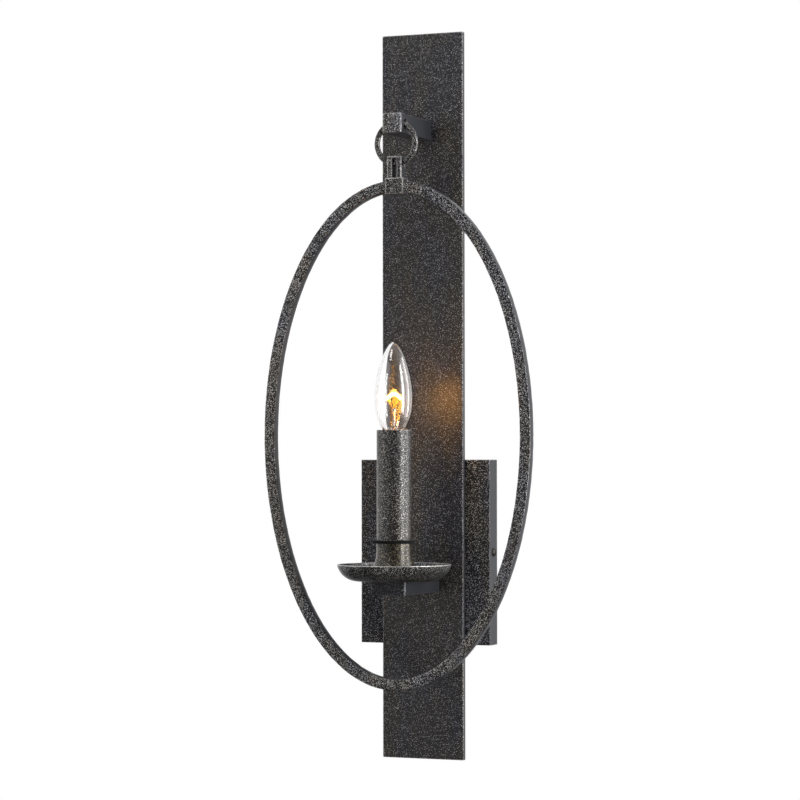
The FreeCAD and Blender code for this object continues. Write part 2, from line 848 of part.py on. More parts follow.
def socket_riser():
    """Bent strap from the nipple up to the underside of the socket."""
    body = new_body("socket_riser")
    profile = sketch_on(body, "YZ_Plane")
    back = "riser_reach + riser_thick"
    corners = [
        ("-nut_flats / 2", "0"),
        (back, "0"),
        (back, "riser_height"),
        ("-riser_width / 2", "riser_height"),
        ("-riser_width / 2", "riser_height - riser_thick"),
        ("riser_reach", "riser_height - riser_thick"),
        ("riser_reach", "riser_thick"),
        ("-nut_flats / 2", "riser_thick"),
    ]
    outline(profile, corners)
    pad(body, profile, "nut_flats", symmetric=True)
    sides = sketch_on(body, "XZ_Plane")
    waste = "(nut_flats - riser_width) / 2"
    tall = "(riser_height - riser_thick)"
    for sign in ("-", ""):
        middle = f"{sign}(nut_flats + riser_width) / 4"
        rectangle(sides, waste, tall, middle, f"riser_thick + {tall} / 2")
    cut(body, sides)
    foot = sketch_on(body, "XY_Plane")
    circle(foot, "candle_hole")
    cut(body, foot, "2 * riser_thick")
    head = sketch_on(body, "XY_Plane")
    circle(head, "rivet_radius + thread_gap")
    bind(head, **{"AttachmentOffset.Base.z": "riser_height - 2 * riser_thick"})
    cut(body, head, "3 * riser_thick")
    place(body, y="candle_y", z="riser_base")


def riser_rivet():
    turned(
        "riser_rivet",
        [
            ("0", "-rivet_head_height"),
            ("rivet_head_radius", "-rivet_head_height"),
            ("rivet_head_radius", "0"),
            ("rivet_radius", "0"),
            ("rivet_radius", "riser_thick + rivet_grip"),
            ("0", "riser_thick + rivet_grip"),
        ],
        "candle_y",
        "socket_base - riser_thick",
    )


def socket_body():
    """Moulded socket with a well for the lamp, a rivet hole and two wire holes below."""
    well = "rivet_grip + seat_gap"
    bore = "rivet_radius + thread_gap"
    body = turned(
        "socket_body",
        [
            (bore, "0"),
            ("socket_radius", "0"),
            ("socket_radius", "socket_height"),
            ("socket_bore", "socket_height"),
            ("socket_bore", "socket_floor"),
            ("0", "socket_floor"),
            ("0", well),
            (bore, well),
        ],
        "candle_y",
        "socket_base",
    )
    holes = sketch_on(body, "XY_Plane")
    for sign in ("-", ""):
        circle(holes, "wire_radius + hole_gap", x=f"{sign}wire_terminal")
    cut(body, holes, "terminal_depth")


def socket_metal():
    """Threaded brass shell and the sprung contact under it."""
    outer = "socket_bore - thread_gap"
    base = "socket_bed + shell_rise"
    tube("socket_shell", outer, f"{outer} - shell_wall", "shell_length", "candle_y", base)
    tab = doc.addObject("Part::Box", "contact_tab")
    bind(tab, Length="contact_length", Width="contact_width", Height="contact_height")
    place(tab, "-contact_length / 2", "candle_y - contact_width / 2", "socket_bed")
    keep(tab, "socket_contact")


# ---------------------------------------------------------------- bulb


def bulb_foot():
    """Screw shell of the lamp, its glass insulator and its contact button."""
    inner = "bulb_base_radius - bulb_base_wall"
    tube("bulb_base", "bulb_base_radius", inner, "bulb_base_length", "candle_y", "bulb_shell_foot")
    turned(
        "bulb_insulator",
        [
            ("0", "0"),
            ("button_radius", "0"),
            ("bulb_base_radius", "insulator_height"),
            ("0", "insulator_height"),
        ],
        "candle_y",
        "bulb_foot + button_height",
    )
    button = doc.addObject("Part::Cylinder", "button")
    bind(button, Radius="button_radius", Height="button_height")
    place(button, "0", "candle_y", "bulb_foot")
    keep(button, "bulb_contact")


def bulb_glass():
    """Thin candle-shaped envelope: a neck, a shoulder, two long arcs and a small round tip."""

    def skin(inset):
        """Neck, shoulder, belly, peak and tip of one face of the glass, and its three curves."""
        belly = f"(glass_belly_radius - {inset})"
        lower = f"(glass_lower_curve - {inset})"
        upper = f"(glass_upper_curve - {inset})"
        peak_height = f"(glass_tip_rise - {inset})"
        rise = f"({peak_height} - glass_belly_rise)"
        shoulder = f"({belly} - {lower} + sqrt({lower} ^ 2 - glass_drop ^ 2))"
        peak = f"({belly} - {upper} + sqrt({upper} ^ 2 - {rise} ^ 2))"
        cap = f"(glass_cap_height - {inset})"
        points = [
            (f"(glass_neck_radius - {inset})", "glass_neck_length"),
            (shoulder, "glass_shoulder_rise"),
            (belly, "glass_belly_rise"),
            (peak, peak_height),
            ("0", f"({peak_height} + {cap})"),
        ]
        return points, (lower, upper, f"(({peak} ^ 2 + {cap} ^ 2) / (2 * {cap}))")

    points, curves = skin("0")
    corners = [("glass_neck_radius - glass_wall", "0"), ("glass_neck_radius", "0"), *points[:2]]
    corners += [(*point, curve, "left") for point, curve in zip(points[2:], curves)]
    points, curves = skin("glass_wall")
    corners += [points[4]]
    corners += [(*point, curve, "right") for point, curve in zip(points[3:0:-1], curves[::-1])]
    corners += [points[0]]
    turned("bulb_glass", corners, "candle_y", "glass_base")


def bulb_mount():
    """Glass stem inside the bulb, the two leads that stand on it and the filament across them."""
    foot = "glass_neck_radius - glass_wall - thread_gap"
    turned(
        "bulb_stem",
        [
            ("0", "0"),
            (foot, "0"),
            (foot, "stem_foot"),
            ("stem_radius", "3 * stem_foot"),
            ("stem_radius", "stem_height"),
            ("0", "stem_height"),
        ],
        "candle_y",
        "glass_base",
    )
    leads = []
    for sign in ("-", ""):
        lead = doc.addObject("Part::Cylinder", "lead")
        bind(lead, Radius="lead_radius", Height="lead_length")
        place(lead, f"{sign}lead_spread")
        leads.append(lead)
    pair = doc.addObject("Part::Compound", "lead_pair")
    pair.Links = leads
    place(pair, "0", "candle_y", "glass_base + stem_height")
    keep(pair, "bulb_leads")
    filament = doc.addObject("Part::Cylinder", "filament")
    bind(filament, Radius="filament_radius", Height="2 * (lead_spread + lead_radius)")
    turn(filament, Y_AXIS, 90)
    height = "glass_base + stem_height + lead_length + filament_radius"
    place(filament, "-(lead_spread + lead_radius)", "candle_y", height)
    keep(filament, "bulb_filament")


# ---------------------------------------------------------------- bracket and hanging parts


def upper_bracket():
    """Square bar standing out from the strip, with the cross hole for the ring."""
    body = new_body("upper_bracket")
    section = sketch_on(body, "XZ_Plane")
    rectangle(section, "bracket_width", "bracket_width")
    block = pad(body, section, "bracket_reach")
    names = edges_where(block, lambda middle: middle.y < -SAME)
    dress(body, "Chamfer", "bracket_edge", block, names)
    hole = sketch_on(body, "YZ_Plane")
    circle(hole, "bracket_hole", x="-ring_reach")
    cut(body, hole)
    threads = sketch_on(body, "XZ_Plane")
    for sign in ("", "-"):
        circle(threads, "bracket_screw_radius + thread_gap", y=f"{sign}bracket_screw_rise")
    cut(body, threads, "bracket_screw_depth")
    place(body, y="strip_face", z="bracket_rise")


def bracket_screws():
    """Two screws from behind the strip into the bracket."""
    length = "strip_thick + bracket_screw_depth - 3 * seat_gap"
    for label, sign in (("upper", "+"), ("lower", "-")):
        body = screw(
            "bracket_screw_" + label,
            "bracket_screw_radius",
            length,
            "bracket_head_radius",
            "bracket_head_height",
        )
        turn(body, X_AXIS, -90)
        place(body, y="strip_back", z=f"bracket_rise {sign} bracket_screw_rise")


def hanging_ring():
    """Closed ring of round rod through the bracket's cross hole."""
    ring = doc.addObject("Part::Torus", "ring")
    bind(ring, Radius1="ring_radius", Radius2="ring_rod")
    turn(ring, X_AXIS, 90)
    place(ring, y="ring_y", z="ring_middle")
    keep(ring, "hanging_ring")


def hanger_link():
    """Staple with two legs and a bridge, a cross hole through both legs for the ring."""
    body = new_body("hanger_link")
    shape = sketch_on(body, "XZ_Plane")
    slot = "(link_slot / 2)"
    bridge = "link_hole + seat_gap"
    corners = [
        ("-link_half", "-link_drop"),
        (f"-{slot}", "-link_drop"),
        (f"-{slot}", bridge),
        (slot, bridge),
        (slot, "-link_drop"),
        ("link_half", "-link_drop"),
        ("link_half", "link_crown"),
        ("-link_half", "link_crown"),
    ]
    outline(shape, corners)
    block = pad(body, shape, "link_depth", symmetric=True)
    foot = -number("link_drop")
    names = edges_where(block, lambda middle: middle.z > foot + SAME)
    dress(body, "Chamfer", "link_edge", block, names)
    hole = sketch_on(body, "YZ_Plane")
    circle(hole, "link_hole")
    cut(body, hole)
    place(body, y="ring_y", z="link_pin")


def hoop_collar():
    """Band under the link that the hoop passes through with room to slide."""
    body = new_body("hoop_collar")
    height = "(link_foot - collar_foot)"
    face = sketch_on(body, "XZ_Plane")
    rectangle(face, "collar_width", height, y=f"-{height} / 2")
    block = pad(body, face, "collar_depth", symmetric=True)
    names = edges_where(block, lambda middle: middle.z < -SAME)
    dress(body, "Chamfer", "collar_edge", block, names)
    channel = sketch_on(body, "YZ_Plane")
    tall = "(link_foot - collar_wall - collar_floor)"
    rectangle(channel, "hoop_depth + 2 * seat_gap", tall, y=f"-collar_wall - {tall} / 2")
    cut(body, channel)
    place(body, y="ring_y", z="link_foot")


def hoop():
    """Closed oval of square bar, its long axis upright."""
    solids = []
    for label, inset in (("outer", "0"), ("inner", "hoop_bar")):
        oval = doc.addObject("Part::Ellipse", label + "_oval")
        bind(oval, MajorRadius=f"hoop_half_height - {inset}", MinorRadius=f"hoop_half_width - {inset}")
        solid = doc.addObject("Part::Extrusion", label + "_block")
        solid.Base = oval
        solid.DirMode = "Custom"
        solid.Dir = Z_AXIS
        solid.Solid = True
        solid.Symmetric = True
        bind(solid, LengthFwd="hoop_depth")
        solids.append(solid)
    ring = doc.addObject("Part::Cut", "oval_ring")
    ring.Base, ring.Tool = solids
    doc.recompute()
    rounded = doc.addObject("Part::Fillet", "rounded_oval")
    rounded.Base = ring
    edge = number("hoop_edge")
    ovals = [index for index, item in enumerate(ring.Shape.Edges, start=1) if item.isClosed()]
    rounded.Edges = [(index, edge, edge) for index in ovals]
    upright = FreeCAD.Rotation(X_AXIS, 90) * FreeCAD.Rotation(Z_AXIS, 90)
    rounded.Placement = FreeCAD.Placement(FreeCAD.Vector(), upright)
    place(rounded, y="ring_y", z="hoop_middle")
    keep(rounded, "hoop")


# ---------------------------------------------------------------- the whole sconce

mounting_strap()
canopy_pan()
side_screws()
ground_parts()
back_strip()
strip_studs()
wire_bushing()
lower_arm()
arm_cap()
candle_nipple()
drip_dish()
candle_cup()
seat_disc()
candle_sleeve()
socket_riser()
riser_rivet()
socket_body()
socket_metal()
supply_wires()
bulb_foot()
bulb_glass()
bulb_mount()
upper_bracket()
bracket_screws()
hanging_ring()
hanger_link()
hoop_collar()
hoop()

doc.removeObject("trial")
doc.recompute()
for item in doc.Objects:
    if "Invalid" in item.State or "Error" in item.State:
        raise ValueError(f"{item.Label} failed: {item.State}")
for item in sub_parts:
    if item.Shape.isNull() or not item.Shape.isValid():
        raise ValueError(f"{item.Label} has no valid shape")

os.makedirs("parts", exist_ok=True)
for item in sub_parts:
    item.Shape.exportStep(f"parts/{item.Label}.step")
print(len(sub_parts), "sub-parts written")
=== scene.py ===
# %% [markdown]
# # A candle wall sconce with a hanging oval hoop
# The sconce is a tall flat bar on a small canopy. A short arm carries a dish, a cup and a metal candle
# sleeve with a clear bulb, and an oval hoop hangs in front of the bar from a bracket, a ring and a link.
# The frame already holds every hard piece at its true size. This lesson dresses them: it models again the
# pieces that need more shape than the frame gives, and it paints each surface as the real one is made.

# %% Load the frame
import math

import bpy
from mathutils import Matrix, Vector
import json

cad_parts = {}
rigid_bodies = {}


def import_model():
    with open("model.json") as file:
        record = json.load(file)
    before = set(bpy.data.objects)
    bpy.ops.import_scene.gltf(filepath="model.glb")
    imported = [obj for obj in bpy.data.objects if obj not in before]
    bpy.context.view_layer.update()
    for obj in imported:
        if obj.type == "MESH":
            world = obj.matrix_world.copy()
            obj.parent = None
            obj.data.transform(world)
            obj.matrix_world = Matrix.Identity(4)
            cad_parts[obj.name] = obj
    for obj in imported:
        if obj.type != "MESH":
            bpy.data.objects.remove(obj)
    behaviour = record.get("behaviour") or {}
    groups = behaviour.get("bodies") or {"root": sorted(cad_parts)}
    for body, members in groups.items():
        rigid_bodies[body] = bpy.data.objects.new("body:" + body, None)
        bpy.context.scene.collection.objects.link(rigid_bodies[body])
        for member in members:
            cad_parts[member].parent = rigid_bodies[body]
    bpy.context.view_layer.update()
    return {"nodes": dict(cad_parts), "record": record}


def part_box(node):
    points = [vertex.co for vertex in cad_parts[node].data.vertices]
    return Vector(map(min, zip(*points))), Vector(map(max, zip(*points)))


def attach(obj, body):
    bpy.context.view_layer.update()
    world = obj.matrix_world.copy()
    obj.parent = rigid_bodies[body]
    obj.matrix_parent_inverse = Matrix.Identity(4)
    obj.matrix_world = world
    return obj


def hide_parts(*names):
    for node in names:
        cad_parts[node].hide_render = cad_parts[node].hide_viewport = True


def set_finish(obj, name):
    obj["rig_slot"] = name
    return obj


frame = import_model()
nodes = frame["nodes"]

# %% [markdown]
# ## Places to measure from
# Everything that is modelled here sits on something in the frame, so its place is read from the frame's
# boxes. The candle's axis, the ring's middle and the hoop's middle are the three that come back often.

# %% Places and units
MM = 0.001


def middle(node):
    low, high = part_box(node)
    return (low + high) / 2


def size(node):
    low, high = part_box(node)
    return high - low


candle = middle("candle_sleeve")
candle_axis = Vector((candle.x, candle.y, 0))
print("candle axis at", [round(c / MM, 2) for c in candle_axis], "mm")

# %% [markdown]
# ## The camera
# The photograph was taken from the right of the sconce, almost level and from well away with a long lens,
# so upright lines stay upright and the far edges shrink only a little. The camera's place, turn and lens
# reproduce that view, and it aims at the middle of the picture.

# %% Camera
VIEW_TURN = math.radians(22.735)
VIEW_RISE = math.radians(1.16)
VIEW_ROLL = math.radians(-0.06)
VIEW_DISTANCE = 2.3976
LENS = 127.8
aim = Vector((-0.02054, -0.022, 0.1279))
backwards = Vector((
    math.sin(VIEW_TURN) * math.cos(VIEW_RISE),
    -math.cos(VIEW_TURN) * math.cos(VIEW_RISE),
    -math.sin(VIEW_RISE),
))
camera_data = bpy.data.cameras.new("view")
camera_data.lens = LENS
camera_data.sensor_width = 36
camera_data.clip_end = 20
camera = bpy.data.objects.new("view", camera_data)
bpy.context.scene.collection.objects.link(camera)
camera.location = aim + backwards * VIEW_DISTANCE
camera.rotation_mode = "QUATERNION"
upright = (-backwards).to_track_quat("-Z", "Y")
camera.rotation_quaternion = upright @ Matrix.Rotation(VIEW_ROLL, 4, "Z").to_quaternion()
bpy.context.scene.camera = camera
print("camera at", [round(c, 3) for c in camera.location])

# %% [markdown]
# ## The studio
# The picture is a product shot on white, and a pale floor lies well below the sconce. A world and a floor
# could be one plain white, but dark glossy paint shows whatever it mirrors, so each gives a second, dimmer
# answer to reflections. Only the camera sees pure white. Light that left through glass sees white too,
# except towards the camera, where a real studio is dark: that draws the dark middle of the bulb. Metal
# mirrors a bright left side, a softer right side and a dark room in front and below.

# %% A function for colours and one for nodes
def linear(hexes):
    """An sRGB hex colour as the linear RGBA that Blender's sockets hold."""
    channels = [int(hexes[i : i + 2], 16) / 255 for i in (1, 3, 5)]
    bent = [c / 12.92 if c <= 0.04045 else ((c + 0.055) / 1.055) ** 2.4 for c in channels]
    return (*bent, 1.0)


def add(tree, kind, links=None, **settings):
    """Adds a node to a tree. links maps an input to another node's output or to a plain value."""
    node = tree.nodes.new(kind)
    for name, value in settings.items():
        setattr(node, name, value)
    for socket, value in (links or {}).items():
        if isinstance(value, bpy.types.NodeSocket):
            tree.links.new(value, node.inputs[socket])
        else:
            node.inputs[socket].default_value = value
    return node


# %% World
WHITE = linear("#FFFFFF")
ROOM_LIGHT = 0.45
# how bright a reflection meets each side of the room
SIDE_LEFT, SIDE_RIGHT, FRONT, BELOW = 1.0, 0.6, 0.04, 0.15
# a side takes over from another between two shares of a direction along x, y or z
TO_RIGHT, TO_FRONT, TO_BELOW = (-0.3, 0.3), (-0.1, -0.8), (-0.1, -0.5)
world = bpy.data.worlds.new("studio")
bpy.context.scene.world = world
world.use_nodes = True
tree = world.node_tree
tree.nodes.clear()
way = add(tree, "ShaderNodeSeparateXYZ", {0: add(tree, "ShaderNodeTexCoord").outputs["Generated"]}).outputs
turned = []
for axis, (start, end) in (("X", TO_RIGHT), ("Y", TO_FRONT), ("Z", TO_BELOW)):
    span = add(tree, "ShaderNodeMapRange", {"Value": way[axis], "From Min": start, "From Max": end})
    turned.append(span.outputs[0])
mirrored = add(tree, "ShaderNodeMix", {0: turned[0], 2: SIDE_LEFT, 3: SIDE_RIGHT}).outputs[0]
mirrored = add(tree, "ShaderNodeMix", {0: turned[1], 2: mirrored, 3: FRONT}).outputs[0]
mirrored = add(tree, "ShaderNodeMix", {0: turned[2], 2: mirrored, 3: BELOW}).outputs[0]
through = add(tree, "ShaderNodeMix", {0: turned[1], 2: 1.0, 3: FRONT}).outputs[0]
path = add(tree, "ShaderNodeLightPath").outputs
strength = add(tree, "ShaderNodeMix", {0: path["Is Glossy Ray"], 2: ROOM_LIGHT, 3: mirrored}).outputs[0]
strength = add(tree, "ShaderNodeMix", {0: path["Is Transmission Ray"], 2: strength, 3: through}).outputs[0]
strength = add(tree, "ShaderNodeMix", {0: path["Is Camera Ray"], 2: strength, 3: 1.0}).outputs[0]
backdrop = add(tree, "ShaderNodeBackground", {"Color": WHITE, "Strength": strength})
add(tree, "ShaderNodeOutputWorld", {"Surface": backdrop.outputs[0]})
print("the room gives", ROOM_LIGHT, "of white, and mirrors", SIDE_LEFT, "left and", SIDE_RIGHT, "right")

# %% Floor
FLOOR_DEPTH = 1.5
FLOOR_RADIUS = 3.0
bpy.ops.object.select_all(action="DESELECT")
bpy.ops.mesh.primitive_circle_add(vertices=96, radius=FLOOR_RADIUS, fill_type="NGON",
                                  location=(0, 0, -FLOOR_DEPTH))
floor = bpy.context.object
floor.name = "floor"
# matt paper: a pale, even white to the eye, and a middle grey to what mirrors it
paper = bpy.data.materials.new("seamless_paper")
paper.use_nodes = True
tree = paper.node_tree
mirrored = add(tree, "ShaderNodeLightPath").outputs["Is Glossy Ray"]
shade = add(tree, "ShaderNodeMix", {"Factor": mirrored, 6: linear("#F2F1EE"), 7: linear("#6E6D6B")},
            data_type="RGBA").outputs[2]
tree.links.new(shade, tree.nodes["Principled BSDF"].inputs["Base Color"])
tree.nodes["Principled BSDF"].inputs["Roughness"].default_value = 0.9
floor.data.materials.append(paper)
print("floor", FLOOR_DEPTH, "m below")

# %% [markdown]
# ## The lights
# Lamps could be plain points, but the sleeve and the bar edges would then show small hot spots. Wide
# rectangular softboxes give the long highlights that the photograph has. The two broad ones stand at the
# sides and leave the space round the camera empty, which draws the dark band down the sleeve. Two narrow
# ones at the right sharpen the bright right edges. A small one above keeps the tops of the bars from
# going black.

# %% Softboxes
LIGHT_DISTANCE = 1.6


def softbox(name, azimuth, rise, wide, high, power):
    """A soft rectangular light that faces the sconce's middle. azimuth and rise are in degrees, the size in
    metres and the power in watts."""
    light = bpy.data.lights.new(name, "AREA")
    light.shape = "RECTANGLE"
    light.size, light.size_y = wide, high
    light.energy = power
    lamp = bpy.data.objects.new(name, light)
    turn, tilt = math.radians(azimuth), math.radians(rise)
    outwards = Vector((math.sin(turn) * math.cos(tilt), -math.cos(turn) * math.cos(tilt), math.sin(tilt)))
    lamp.location = aim + outwards * LIGHT_DISTANCE
    lamp.rotation_euler = outwards.to_track_quat("Z", "Y").to_euler()
    bpy.context.scene.collection.objects.link(lamp)
    print(name, "at", azimuth, "degrees,", power, "W")


softbox("softbox_right", 100, 5, 1.8, 1.8, 22)
softbox("striplight_right", 77, 5, 0.45, 1.6, 17)
softbox("striplight_back", 118, 5, 0.3, 1.6, 6)
softbox("softbox_left", -44, 5, 2.0, 1.8, 7.5)
softbox("softbox_top", -15, 48, 0.5, 0.5, 6)

# %% [markdown]
# ## Tools for modelling by hand
# Each new piece starts as a primitive at its place and is shaped in edit mode. Operators act on whatever is
# selected, so one function clears the selection first. Another one ends each piece: it puts the piece's
# origin back at the origin of the frame, smooths its faces, and says which body carries it, which finish
# it takes and which piece of the frame it stands for.

# %% Helpers for new pieces
SMOOTH_ANGLE = math.radians(35)


def clear_selection():
    bpy.ops.object.select_all(action="DESELECT")


def faces_outwards(gap=None):
    """Turns every face of the active mesh outwards. Points that lie within the gap are joined first."""
    bpy.ops.object.mode_set(mode="EDIT")
    bpy.ops.mesh.select_all(action="SELECT")
    if gap:
        bpy.ops.mesh.remove_doubles(threshold=gap)
    bpy.ops.mesh.normals_make_consistent(inside=False)
    bpy.ops.object.mode_set(mode="OBJECT")


def apply_modifier(piece, kind, **settings):
    made = piece.modifiers.new(kind.lower(), kind)
    for name, value in settings.items():
        setattr(made, name, value)
    bpy.ops.object.modifier_apply(modifier=made.name)


def finished(piece, name, body, slot, *replaced):
    """Ends a new piece. body carries it, slot is its finish, and it stands for the replaced pieces."""
    clear_selection()
    piece.select_set(True)
    bpy.context.view_layer.objects.active = piece
    bpy.ops.object.transform_apply(location=True, rotation=True, scale=True)
    bpy.ops.object.shade_smooth_by_angle(angle=SMOOTH_ANGLE)
    piece.name = name
    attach(piece, body)
    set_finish(piece, slot)
    if replaced:
        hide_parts(*replaced)
    print(name, "has", len(piece.data.polygons), "faces")


# %% A ring that grows
def grow(steps, vertices=48):
    """Starts a circle on the candle's axis and extrudes it upwards. Each step is (height, half width in x,
    half depth in y), and the piece stays in edit mode with its last ring selected."""
    (height, wide, deep), *others = steps
    clear_selection()
    bpy.ops.mesh.primitive_circle_add(vertices=vertices, radius=wide, location=(candle.x, candle.y, height))
    bpy.ops.object.mode_set(mode="EDIT")
    bpy.ops.mesh.select_all(action="SELECT")
    bpy.ops.transform.resize(value=(1, deep / wide, 1), center_override=(candle.x, candle.y, height))
    for new_height, new_wide, new_deep in others:
        bpy.ops.mesh.extrude_region_move(TRANSFORM_OT_translate={"value": (0, 0, new_height - height)})
        centre = (candle.x, candle.y, new_height)
        bpy.ops.transform.resize(value=(new_wide / wide, new_deep / deep, 1), center_override=centre)
        height, wide, deep = new_height, new_wide, new_deep
    return bpy.context.object


# %% [markdown]
# ## The bulb's glass
# A candle bulb is a tube of soft glass that was blown into a flame shape and drawn to a point where it was
# sealed. It could be spun from a half profile in one go. Growing it ring by ring from the neck shows more
# plainly how wide the glass is at each height, and subdivision then rounds it between the rings. The
# wall of 0.9 mm comes last, so that light bends through two surfaces, as it does through a real bulb.

# %% Bulb glass
GLASS_WALL = 0.9 * MM
GLASS_TIP = 0.3 * MM
# heights above the foot of the glass and outer radii, in mm
GLASS_RINGS = ((0, 6.3), (3.0, 6.3), (6.3, 7.6), (9.2, 9.7), (13.3, 11.9), (18.2, 14.0), (23.1, 15.2),
               (28.0, 15.85), (35.5, 16.1), (42.8, 15.8), (52.6, 14.3), (62.5, 11.6), (69.0, 9.4),
               (74.0, 7.0), (77.6, 4.8), (79.7, 2.9), (80.7, 1.3))
glass_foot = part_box("bulb_glass")[0]
bulb = grow([(glass_foot.z + rise * MM, radius * MM, radius * MM) for rise, radius in GLASS_RINGS])
bpy.ops.mesh.extrude_region_move(TRANSFORM_OT_translate={"value": (0, 0, GLASS_TIP)})
bpy.ops.mesh.merge(type="CENTER")
faces_outwards()
apply_modifier(bulb, "SOLIDIFY", thickness=GLASS_WALL, offset=-1)
apply_modifier(bulb, "SUBSURF", levels=2, render_levels=2)
finished(bulb, "blown_bulb", "wall_parts", "bulb_clear_glass", "bulb_glass")

# %% [markdown]
# ## What stands inside the bulb
# A flared glass tube closes the neck from inside, and its top is pinched flat while hot, round the two
# leads. Each lead ends in a hook that holds the filament, a coil of tungsten wire that stands in an arch.
# Real tungsten wire is hair-thin, and the coil is drawn thick, because at this size only its glare shows.
# The stem grows like the bulb. The wires are curves with a round section, because a wire is a line that
# has been bent, and they become meshes at the end.

# %% Stem
stem_foot, stem_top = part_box("bulb_stem")
flare = (stem_top.x - stem_foot.x) / 2
PINCH_EDGE = 0.15 * MM
# heights above the stem's foot in mm, half widths and half depths as shares of the flare's: the flare, the
# tube, the flat pinch, and the rod that rises from it to a button under the filament
STEM_RINGS = ((1.2, 0.85, 0.85), (2.6, 0.55, 0.55), (4.5, 0.42, 0.42), (7.0, 0.38, 0.36), (8.5, 0.5, 0.26),
              (11.0, 0.6, 0.22), (11.8, 0.45, 0.22), (12.6, 0.22, 0.22), (14.0, 0.2, 0.2), (22.5, 0.19, 0.19),
              (23.3, 0.27, 0.27), (24.6, 0.3, 0.3), (25.8, 0.24, 0.24), (26.3, 0.1, 0.1))
stem_steps = [(stem_foot.z, flare, flare)]
stem_steps += [(stem_foot.z + rise * MM, wide * flare, deep * flare) for rise, wide, deep in STEM_RINGS]
stem = grow(stem_steps, 32)
bpy.ops.mesh.edge_face_add()
bpy.ops.mesh.select_all(action="SELECT")
bpy.ops.mesh.select_non_manifold()
bpy.ops.mesh.edge_face_add()
faces_outwards()
apply_modifier(stem, "BEVEL", width=PINCH_EDGE, segments=2, limit_method="ANGLE")
finished(stem, "pinched_stem", "wall_parts", "bulb_clear_glass", "bulb_stem")


# %% Bent wires
def bent_wire(name, points, radius, slot, *replaced):
    """A round wire along a smooth line through the points, as a mesh."""
    clear_selection()
    bpy.ops.curve.primitive_nurbs_path_add(location=(0, 0, 0))
    wire = bpy.context.object
    wire.data.splines.clear()
    line = wire.data.splines.new("NURBS")
    line.points.add(len(points) - 1)
    for point, place in zip(line.points, points):
        point.co = (*place, 1)
    line.order_u = 3
    line.use_endpoint_u = True
    wire.data.bevel_depth = radius
    wire.data.bevel_resolution = 3
    wire.data.use_fill_caps = True
    bpy.ops.object.convert(target="MESH")
    finished(bpy.context.object, name, "wall_parts", slot, *replaced)


LEAD_RADIUS = 0.45 * MM
# each lead's way from the pinch to its hook: shares of the half spread, heights and depths in mm
LEAD_POINTS = ((0.35, -2.0, 0), (0.7, 1.5, 0), (1.05, 5.0, 0), (1.1, 12.0, 0), (1.1, 17.0, 0), (1.9, 20.2, 0),
               (2.45, 20.9, 0.4), (2.6, 20.0, 0))
lead_foot, lead_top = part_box("bulb_leads")
spread = (lead_top.x - lead_foot.x) / 2 - LEAD_RADIUS
# the frame's two leads are one node, so the first of the pair stands for it
for name, side, replaced in (("lead_left", -1, ["bulb_leads"]), ("lead_right", 1, [])):
    points = [(candle.x + side * spread * share, candle.y + depth * MM, lead_foot.z + rise * MM)
              for share, rise, depth in LEAD_POINTS]
    bent_wire(name, points, LEAD_RADIUS, "filament_gold", *replaced)

# %% Filament
COIL_TURNS = 15
STEPS_A_TURN = 8
COIL_RADIUS = 1.4 * MM
COIL_WIRE = 0.4 * MM
COIL_ARCH = 4.0 * MM
COIL_SPREAD = 2.5
OVER_LEADS = 0.6 * MM
filament_height = lead_top.z + OVER_LEADS
coil = []
for step in range(COIL_TURNS * STEPS_A_TURN + 1):
    share = step / (COIL_TURNS * STEPS_A_TURN)
    angle = 2 * math.pi * step / STEPS_A_TURN
    along = (2 * share - 1) * spread * COIL_SPREAD
    height = filament_height + COIL_ARCH * math.sin(math.pi * share)
    coil.append((candle.x + along, candle.y + COIL_RADIUS * math.cos(angle),
                 height + COIL_RADIUS * math.sin(angle)))
bent_wire("tungsten_coil", coil, COIL_WIRE, "filament_gold", "bulb_filament")

# %% [markdown]
# ## The hoop
# The hoop is a square bar that a smith bent hot into an oval and dressed with the hammer, so its edges are
# a little soft and its faces aren't quite flat. A circle curve scaled to the oval's middle line gives the
# path, and a small square with rounded corners is drawn along it. The hammer's marks are shallow dents a
# few millimetres wide. A displacement presses them in, so the bar stays inside its collar.

# %% The bar's section
BAR_WIDE = 9.5 * MM
HOOP_EDGE = 1.0 * MM
hoop_middle, hoop_size = middle("hoop"), size("hoop")

clear_selection()
bpy.ops.mesh.primitive_plane_add(size=1, location=(0, 0, 0))
bpy.ops.object.mode_set(mode="EDIT")
bpy.ops.mesh.select_all(action="SELECT")
bpy.ops.transform.resize(value=(BAR_WIDE, hoop_size.y, 1), center_override=(0, 0, 0))
bpy.ops.mesh.bevel(offset=HOOP_EDGE, segments=4, affect="VERTICES")
bpy.ops.mesh.select_all(action="SELECT")
bpy.ops.mesh.delete(type="ONLY_FACE")
bpy.ops.mesh.select_all(action="SELECT")
bpy.ops.mesh.subdivide(number_cuts=1)
bpy.ops.object.mode_set(mode="OBJECT")
bpy.ops.object.convert(target="CURVE")
section = bpy.context.object
print("bar", [round(c / MM, 2) for c in (BAR_WIDE, hoop_size.y)], "mm")

# %% Hoop
HOOP_STEPS = 150
JOIN = 0.001 * MM
DENT_WIDTH = 5 * MM
DENT_DEPTH = 0.32 * MM
# the share of the dents' depth that is pressed in, not raised
DENT_INWARDS = 0.8

